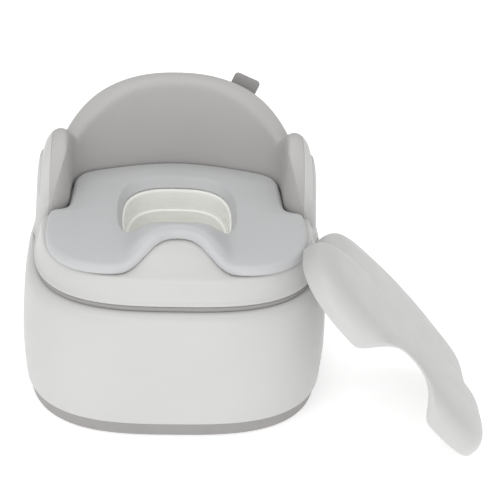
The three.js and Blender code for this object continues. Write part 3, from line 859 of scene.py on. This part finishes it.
def lid_body():
    """The domed lid: a soft crown, a skirt that arches over the splash guard and a hollow inside."""
    outline = offset_ring(-LID_EDGE)
    loft = Loft(SEAT_COUNT)
    for scale, crown, arch, drop in [*smooth(LID_OUTSIDE, 2), *LID_LIP, *smooth(LID_INSIDE, 3)]:
        def place(share, scale=scale, crown=crown, arch=arch, drop=drop):
            point = outline[round(share * SEAT_COUNT) % SEAT_COUNT]
            rise = LID_ARCH * hump_width(point.x) if point.y < 0 else 0
            z = LID_CROWN * crown + arch * rise - drop
            return Vector((point.x * scale, point.y * scale * LID_LENGTH, z))
        loft.ring(place)
    bmesh.ops.transform(loft.bm, matrix=LID_AT, verts=loft.bm.verts)
    return loft.bm


# ---------- small parts ----------

def screw_piece(name, place, tip):
    """A pan-head screw along +Z with its head's face down and a cross recess in it."""
    head = [(0, 0), (2.2, 0), (3.3, 0.3), (3.85, 0.9), (4, 1.6), (4, 2.3), (1.9, 2.3)]
    turns = int((tip - 5) / 1.2)
    thread = []
    for k in range(turns):
        z = 3 + 1.2 * k
        thread += [(1.45, z), (1.9, z + 0.45), (1.45, z + 0.9)]
    piece = turned(name, [*head, *thread, (1.3, tip - 1.6), (0, tip)], Matrix.Identity(4), 32)
    for turn in (0, math.pi / 2):
        bm = bmesh.new()
        bmesh.ops.create_cube(bm, size=1)
        bmesh.ops.scale(bm, vec=(4.2 * MM, 0.9 * MM, 2.8 * MM), verts=bm.verts)
        bmesh.ops.bevel(bm, geom=bm.edges[:], offset=0.15 * MM, segments=1, profile=0.5,
                        affect="EDGES", material=-1)
        bmesh.ops.rotate(bm, matrix=Matrix.Rotation(turn, 3, "Z"), verts=bm.verts)
        carve(piece, mesh_object("recess", bm), angle=30)
    piece.data.transform(place)
    return piece


def foot_piece(name, x, y, low, high):
    """A round rubber foot with a grooved sole."""
    sole = [(0, 0), (3, 0), (3.5, 0.5), (4.2, 0.5), (4.7, 0), (7.2, 0), (7.7, 0.5), (8.4, 0.5), (8.9, 0),
            (11, 0), (11.7, 0.25), (12, 0.9), (12, high - low - 0.2), (11.8, high - low), (0, high - low)]
    return turned(name, sole, Matrix.Translation((x * MM, y * MM, low * MM)), 48)


TAB = {"x": 73.3, "face": 145, "middle": 288.7, "width": 34, "length": 80, "thick": 3, "corner": 5}
TAB_CANT, TAB_TURN, TAB_SCREW = 0.37, -0.15, 30


def tab_place():
    """The rear tab's frame: x across it, y away from the shell and z along it."""
    return (Matrix.Translation((TAB["x"] * MM, TAB["face"] * MM, TAB["middle"] * MM))
            @ Matrix.Rotation(TAB_TURN, 4, "Z") @ Matrix.Rotation(TAB_CANT, 4, "Y"))


def tab_body():
    """A flat grey strap with rounded corners, softened edges and a shallow panel in its outer face."""
    w, h, r = TAB["width"] / 2, TAB["length"] / 2, TAB["corner"]
    bm = bmesh.new()
    outline = [(w, -h + 2), (w, h - r)]
    outline += [(w - r + r * math.cos(a), h - r + r * math.sin(a)) for a in arc(0, 90, 8)[1:]]
    outline += [(-w + r + r * math.cos(a), h - r + r * math.sin(a)) for a in arc(90, 180, 8)]
    outline += [(-w, -h + 2), (-w + 2, -h), (w - 2, -h)]
    verts = [bm.verts.new((x * MM, 0, z * MM)) for x, z in outline]
    face = bm.faces.new(verts)
    walls = bmesh.ops.extrude_face_region(bm, geom=[face])["geom"]
    moved = [item for item in walls if isinstance(item, bmesh.types.BMVert)]
    bmesh.ops.translate(bm, vec=(0, TAB["thick"] * MM, 0), verts=moved)
    bmesh.ops.recalc_face_normals(bm, faces=bm.faces)
    rims = [edge for edge in bm.edges if edge.calc_face_angle(0) > 1.2]
    bmesh.ops.bevel(bm, geom=rims, offset=0.7 * MM, segments=3, profile=0.5, affect="EDGES", material=-1)
    back = max(bm.faces, key=lambda f: f.normal.y * f.calc_area())
    bmesh.ops.inset_region(bm, faces=[back], thickness=3 * MM, use_even_offset=True)
    bmesh.ops.inset_region(bm, faces=[back], thickness=0.5 * MM, depth=-0.5 * MM, use_even_offset=True)
    bmesh.ops.transform(bm, matrix=tab_place(), verts=bm.verts)
    return bm


def arc(start, end, steps):
    """Angles in radians from one angle in degrees to another."""
    return [math.radians(mix(start, end, k / steps)) for k in range(steps + 1)]


# ---------- settings ----------

class PottySizes(PropertyGroup):
    """Lengths that shape the soft parts and the camera."""
    seat_crown: FloatProperty(name="Seat crown", description="Swell of the seat ring's top",
                              default=1.4 * MM, unit="LENGTH")
    camera_height: FloatProperty(name="Camera height", description="Height of the camera",
                                 default=1.182, unit="LENGTH")


def colour_setting(name, words, value):
    return FloatVectorProperty(name=name, description=words, default=value, subtype="COLOR", min=0, max=1)


class PottyColours(PropertyGroup):
    """Base colours of the finishes."""
    white: colour_setting("White shell", "Moulded body and lid", (0.56, 0.558, 0.549))
    pot: colour_setting("Pot", "Polished pot and seat plate", (0.93, 0.935, 0.9))
    trim: colour_setting("Trim", "Bottom band, seam ring and rear tab", (0.315, 0.304, 0.302))
    pad: colour_setting("Pads", "Foam skin of the back and the arms", (0.46, 0.453, 0.443))
    seat: colour_setting("Seat", "Foam skin of the seat ring", (0.525, 0.53, 0.537))
    foot: colour_setting("Feet", "Rubber of the feet and bumpers", (0.1, 0.1, 0.1))
    steel: colour_setting("Screws", "Zinc-plated steel", (0.58, 0.59, 0.61))
    floor: colour_setting("Floor", "The plain floor", (0.8, 0.8, 0.8))


def sizes():
    return bpy.context.scene.potty_sizes


def colours():
    return bpy.context.scene.potty_colours


def finish_of(name, make):
    """The material of that name, made once."""
    return bpy.data.materials.get(name) or make()


def white_finish():
    return finish_of("white_plastic", lambda: moulded_white(colours().white))


def pot_finish():
    return finish_of("pot_plastic", lambda: pot_plastic(colours().pot))


def trim_finish():
    return finish_of("trim_plastic", lambda: trim_plastic(colours().trim))


def pad_finish():
    return finish_of("pad_foam", lambda: foam_skin("pad_foam", colours().pad, 620, 0.52))


def seat_finish():
    return finish_of("seat_foam", lambda: foam_skin("seat_foam", colours().seat, 560, 0.46))


def rubber_finish():
    return finish_of("foot_rubber", lambda: rubber(colours().foot))


def steel_finish():
    return finish_of("zinc_steel", lambda: zinc_steel(colours().steel))


# ---------- operators ----------

class POTTY_OT_bottom_cover(Operator):
    """Make the grey bottom band with recesses for its feet and screws"""
    bl_idname = "potty.bottom_cover"
    bl_label = "Bottom Cover"

    def execute(self, context):
        piece = mesh_object("bottom_band", cover_body())
        for i in range(4):
            for node, radius, depth in ((f"cover_screw_{i + 1}", 4.6, 2.95), (f"foot_{i + 1}", 12.3, 1.2)):
                low, high = corners(node)
                middle = (low + high) / 2
                well = [(0, -2), (radius + 0.4, -2), (radius + 0.4, 0), (radius, 0.4),
                        (radius, depth), (0, depth)]
                place = Matrix.Translation((middle.x * MM, middle.y * MM, 0))
                carve(piece, turned("well", well, place, 40))
        dress(piece, "chair", "grey_trim", trim_finish(), "bottom_cover")
        return {"FINISHED"}


class POTTY_OT_feet(Operator):
    """Make the four rubber feet"""
    bl_idname = "potty.feet"
    bl_label = "Feet"

    def execute(self, context):
        for i in range(4):
            low, high = corners(f"foot_{i + 1}")
            middle = (low + high) / 2
            piece = foot_piece(f"rubber_foot_{i + 1}", middle.x, middle.y, low.z, high.z)
            dress(piece, "chair", "rubber_foot", rubber_finish(), f"foot_{i + 1}")
        return {"FINISHED"}


class POTTY_OT_screws(Operator):
    """Make the screws of the bottom cover, the shells and the rear tab"""
    bl_idname = "potty.screws"
    bl_label = "Screws"

    def execute(self, context):
        for kind in ("cover_screw", "shell_screw"):
            for i in range(4):
                low, high = corners(f"{kind}_{i + 1}")
                middle = (low + high) / 2
                place = Matrix.Translation((middle.x * MM, middle.y * MM, low.z * MM))
                piece = screw_piece(f"pan_{kind}_{i + 1}", place, high.z - low.z)
                dress(piece, "chair", "screw_steel", steel_finish(), f"{kind}_{i + 1}")
        head_out = (TAB["thick"] + GAP + 2.3) * MM
        place = tab_place() @ Matrix.Translation((0, head_out, -TAB_SCREW * MM)) @ Matrix.Rotation(
            math.pi / 2, 4, "X")
        piece = screw_piece("pan_tab_screw", place, 16.6)
        dress(piece, "chair", "screw_steel", steel_finish(), "tab_screw")
        return {"FINISHED"}


class POTTY_OT_lower_shell(Operator):
    """Make the white lower shell"""
    bl_idname = "potty.lower_shell"
    bl_label = "Lower Shell"

    def execute(self, context):
        piece = mesh_object("barrel_shell", lower_shell_body())
        dress(piece, "chair", "white_shell", white_finish(), "lower_shell")
        return {"FINISHED"}


class POTTY_OT_seam_ring(Operator):
    """Make the grey seam ring"""
    bl_idname = "potty.seam_ring"
    bl_label = "Seam Ring"

    def execute(self, context):
        piece = mesh_object("grey_seam_ring", seam_ring_body())
        dress(piece, "chair", "grey_trim", trim_finish(), "seam_ring")
        return {"FINISHED"}


class POTTY_OT_upper_shell(Operator):
    """Make the white upper shell: rim, splash guard, arms and back"""
    bl_idname = "potty.upper_shell"
    bl_label = "Upper Shell"

    def execute(self, context):
        piece = mesh_object("seat_shell", rim_body())
        carve(piece, mesh_object("wall", white_wall_body()), "UNION")
        dress(piece, "chair", "white_shell", white_finish(), "upper_shell")
        return {"FINISHED"}


class POTTY_OT_wall_pad(Operator):
    """Make the grey pad that lines the arms and the back"""
    bl_idname = "potty.wall_pad"
    bl_label = "Wall Pad"

    def execute(self, context):
        piece = mesh_object("foam_wall_pad", wall_pad_body(), 60)
        dress(piece, "chair", "grey_pad", pad_finish(), "wall_pad")
        return {"FINISHED"}


class POTTY_OT_rear_tab(Operator):
    """Make the grey tab on the back of the backrest"""
    bl_idname = "potty.rear_tab"
    bl_label = "Rear Tab"

    def execute(self, context):
        piece = mesh_object("hanging_tab", tab_body(), 30)
        dress(piece, "chair", "grey_trim", trim_finish(), "rear_tab")
        return {"FINISHED"}


class POTTY_OT_seat(Operator):
    """Make the seat ring's cushion and finish its plate and bumpers"""
    bl_idname = "potty.seat"
    bl_label = "Seat Ring"

    def execute(self, context):
        piece = mesh_object("foam_seat_ring", seat_body(sizes().seat_crown / MM), 60)
        dress(piece, "seat", "seat_pad", seat_finish(), "seat_cushion")
        repaint("seat_plate", pot_finish())
        for i in range(4):
            repaint(f"seat_bumper_{i + 1}", rubber_finish())
        return {"FINISHED"}


def repaint(node, material):
    """Gives a part that stays as it is a better finish."""
    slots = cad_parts[node].data.materials
    slots.clear()
    slots.append(material)


class POTTY_OT_pot(Operator):
    """Make the lift-out pot"""
    bl_idname = "potty.pot"
    bl_label = "Pot"

    def execute(self, context):
        piece = mesh_object("lift_out_pot", pot_body())
        dress(piece, "pot", "pot_shell", pot_finish(), "pot")
        return {"FINISHED"}


class POTTY_OT_lid(Operator):
    """Make the loose domed lid"""
    bl_idname = "potty.lid"
    bl_label = "Lid"

    def execute(self, context):
        piece = mesh_object("domed_lid", lid_body(), 50)
        dress(piece, "lid", "white_shell", white_finish(), "lid")
        return {"FINISHED"}


class POTTY_OT_stage(Operator):
    """Make the floor, the lights and the camera"""
    bl_idname = "potty.stage"
    bl_label = "Stage"

    def execute(self, context):
        scene = context.scene
        low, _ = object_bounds()
        bm = bmesh.new()
        bmesh.ops.create_grid(bm, x_segments=4, y_segments=4, size=30)
        bmesh.ops.translate(bm, vec=(0, 0, low.z), verts=bm.verts)
        floor = mesh_object("floor", bm)
        floor.data.materials.append(finish_of("floor_finish", lambda: floor_finish(colours().floor)))
        floor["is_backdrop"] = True

        world = bpy.data.worlds.new("soft_room")
        world.use_nodes = True
        world.node_tree.nodes["Background"].inputs["Color"].default_value = (1, 1, 1, 1)
        world.node_tree.nodes["Background"].inputs["Strength"].default_value = 0.64
        scene.world = world
        add_softbox("key_light", (-1.2, -2.2, 2.9), 2.0, 24)
        add_softbox("front_light", (0.1, -3.4, 1.3), 2.2, 26)
        add_softbox("top_light", (0.0, 0.3, 3.6), 2.4, 26)

        scene.view_settings.view_transform = "Standard"
        camera = bpy.data.objects.new("camera", bpy.data.cameras.new("camera"))
        camera.data.lens = 109.4
        camera.data.sensor_width = 36
        camera.data.clip_end = 100
        pitch, heading, roll = (math.radians(angle) for angle in (33.0, 4.44, 3.34))
        facing = (Matrix.Rotation(-heading, 4, "Z") @ Matrix.Rotation(math.pi / 2 - pitch, 4, "X")
                  @ Matrix.Rotation(roll, 4, "Z"))
        camera.matrix_world = Matrix.Translation((-0.0306, -1.5672, sizes().camera_height)) @ facing
        scene.collection.objects.link(camera)
        scene.camera = camera
        return {"FINISHED"}


def add_softbox(name, place, size, power_watts):
    """A square area light that looks at the chair."""
    light = bpy.data.lights.new(name, "AREA")
    light.shape = "SQUARE"
    light.size = size
    light.energy = power_watts
    lamp = bpy.data.objects.new(name, light)
    aim = Vector((0.05, 0, 0.15)) - Vector(place)
    lamp.matrix_world = Matrix.Translation(place) @ aim.to_track_quat("-Z", "Y").to_matrix().to_4x4()
    bpy.context.scene.collection.objects.link(lamp)


OPERATORS = (
    POTTY_OT_bottom_cover, POTTY_OT_feet, POTTY_OT_screws, POTTY_OT_lower_shell, POTTY_OT_seam_ring,
    POTTY_OT_upper_shell, POTTY_OT_wall_pad, POTTY_OT_rear_tab, POTTY_OT_seat, POTTY_OT_pot, POTTY_OT_lid,
    POTTY_OT_stage,
)


class POTTY_PT_panel(Panel):
    """Lists the chair's settings and pieces"""
    bl_label = "Potty Chair"
    bl_idname = "POTTY_PT_panel"
    bl_space_type = "VIEW_3D"
    bl_region_type = "UI"
    bl_category = "Potty Chair"

    def draw(self, context):
        for settings in (context.scene.potty_sizes, context.scene.potty_colours):
            for name in settings.__annotations__:
                self.layout.prop(settings, name)
        for operator in OPERATORS:
            self.layout.operator(operator.bl_idname)


CLASSES = (PottySizes, PottyColours, *OPERATORS, POTTY_PT_panel)


def register():
    for cls in CLASSES:
        bpy.utils.register_class(cls)
    bpy.types.Scene.potty_sizes = PointerProperty(type=PottySizes)
    bpy.types.Scene.potty_colours = PointerProperty(type=PottyColours)


def unregister():
    del bpy.types.Scene.potty_colours
    del bpy.types.Scene.potty_sizes
    for cls in reversed(CLASSES):
        bpy.utils.unregister_class(cls)


def main():
    register()
    for operator in OPERATORS:
        group, name = operator.bl_idname.split(".")
        getattr(getattr(bpy.ops, group), name)()


if __name__ == "__main__":
    main()
